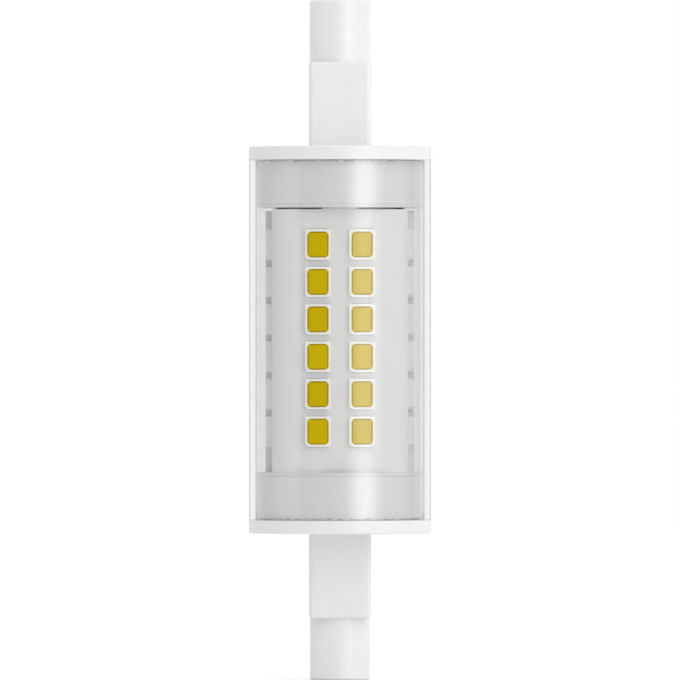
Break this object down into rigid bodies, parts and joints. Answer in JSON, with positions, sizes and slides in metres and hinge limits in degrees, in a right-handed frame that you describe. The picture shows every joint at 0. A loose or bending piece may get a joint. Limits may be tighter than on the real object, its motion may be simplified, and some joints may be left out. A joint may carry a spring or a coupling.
{
  "type": "linear led bulb",
  "caption": "Slim double-ended LED lamp: a clear tube over a four-sided LED core, with white end caps that have flat-sided necks and round noses with recessed contacts.",
  "frame": {"origin": "centre of the lower end face, on the lamp's axis", "axes": "+Z along the lamp towards the upper end, -Y towards the front LED face, +X to the right of it"},
  "size_m": [0.0208, 0.0208, 0.078],
  "materials": {
    "cap_plastic": "smooth moulded white",
    "clear_plastic": "clear polished tube",
    "contact_metal": "nickel plated",
    "wire_sleeve": "smooth insulated wire",
    "adhesive": "cured adhesive",
    "holder_plastic": "moulded white",
    "core_metal": "plain extruded",
    "board_white": "white solder mask",
    "led_white": "moulded white frame",
    "phosphor": "yellow phosphor in silicone",
    "driver_laminate": "glass fibre laminate",
    "bare_copper": "tinned copper wire",
    "can_metal": "drawn can",
    "film_case": "moulded case",
    "ferrite": "pressed ferrite",
    "resistor_coat": "coated body",
    "package_black": "moulded black",
    "chip_ceramic": "fired ceramic chip"
  },
  "bodies": {
    "root": {"board_links": "bare_copper", "chip_capacitors": "chip_ceramic", "chip_resistors": "chip_ceramic", "choke_core": "ferrite", "choke_winding": "bare_copper", "clear_cover": "clear_plastic", "core": "core_metal", "driver_board": "driver_laminate", "driver_chip": "package_black", "film_capacitor": "film_case", "front_led_board": "board_white", "fusible_resistor": "resistor_coat", "led_frames_front_left": "led_white", "led_frames_front_right": "led_white", "led_frames_left_front": "led_white", "led_frames_left_rear": "led_white", "led_frames_rear_left": "led_white", "led_frames_rear_right": "led_white", "led_frames_right_front": "led_white", "led_frames_right_rear": "led_white", "led_phosphor_front_left": "phosphor", "led_phosphor_front_right": "phosphor", "led_phosphor_left_front": "phosphor", "led_phosphor_left_rear": "phosphor", "led_phosphor_rear_left": "phosphor", "led_phosphor_rear_right": "phosphor", "led_phosphor_right_front": "phosphor", "led_phosphor_right_rear": "phosphor", "lower_contact": "contact_metal", "lower_core_holder": "holder_plastic", "lower_cover_seal": "adhesive", "lower_end_cap": "cap_plastic", "lower_lead_wire": "wire_sleeve", "output_diode": "package_black", "rear_led_board": "board_white", "rectifier_bridge": "package_black", "smoothing_capacitor": "can_metal", "upper_contact": "contact_metal", "upper_core_holder": "holder_plastic", "upper_cover_seal": "adhesive", "upper_end_cap": "cap_plastic", "upper_lead_wire": "wire_sleeve"}
  },
  "joints": []
}
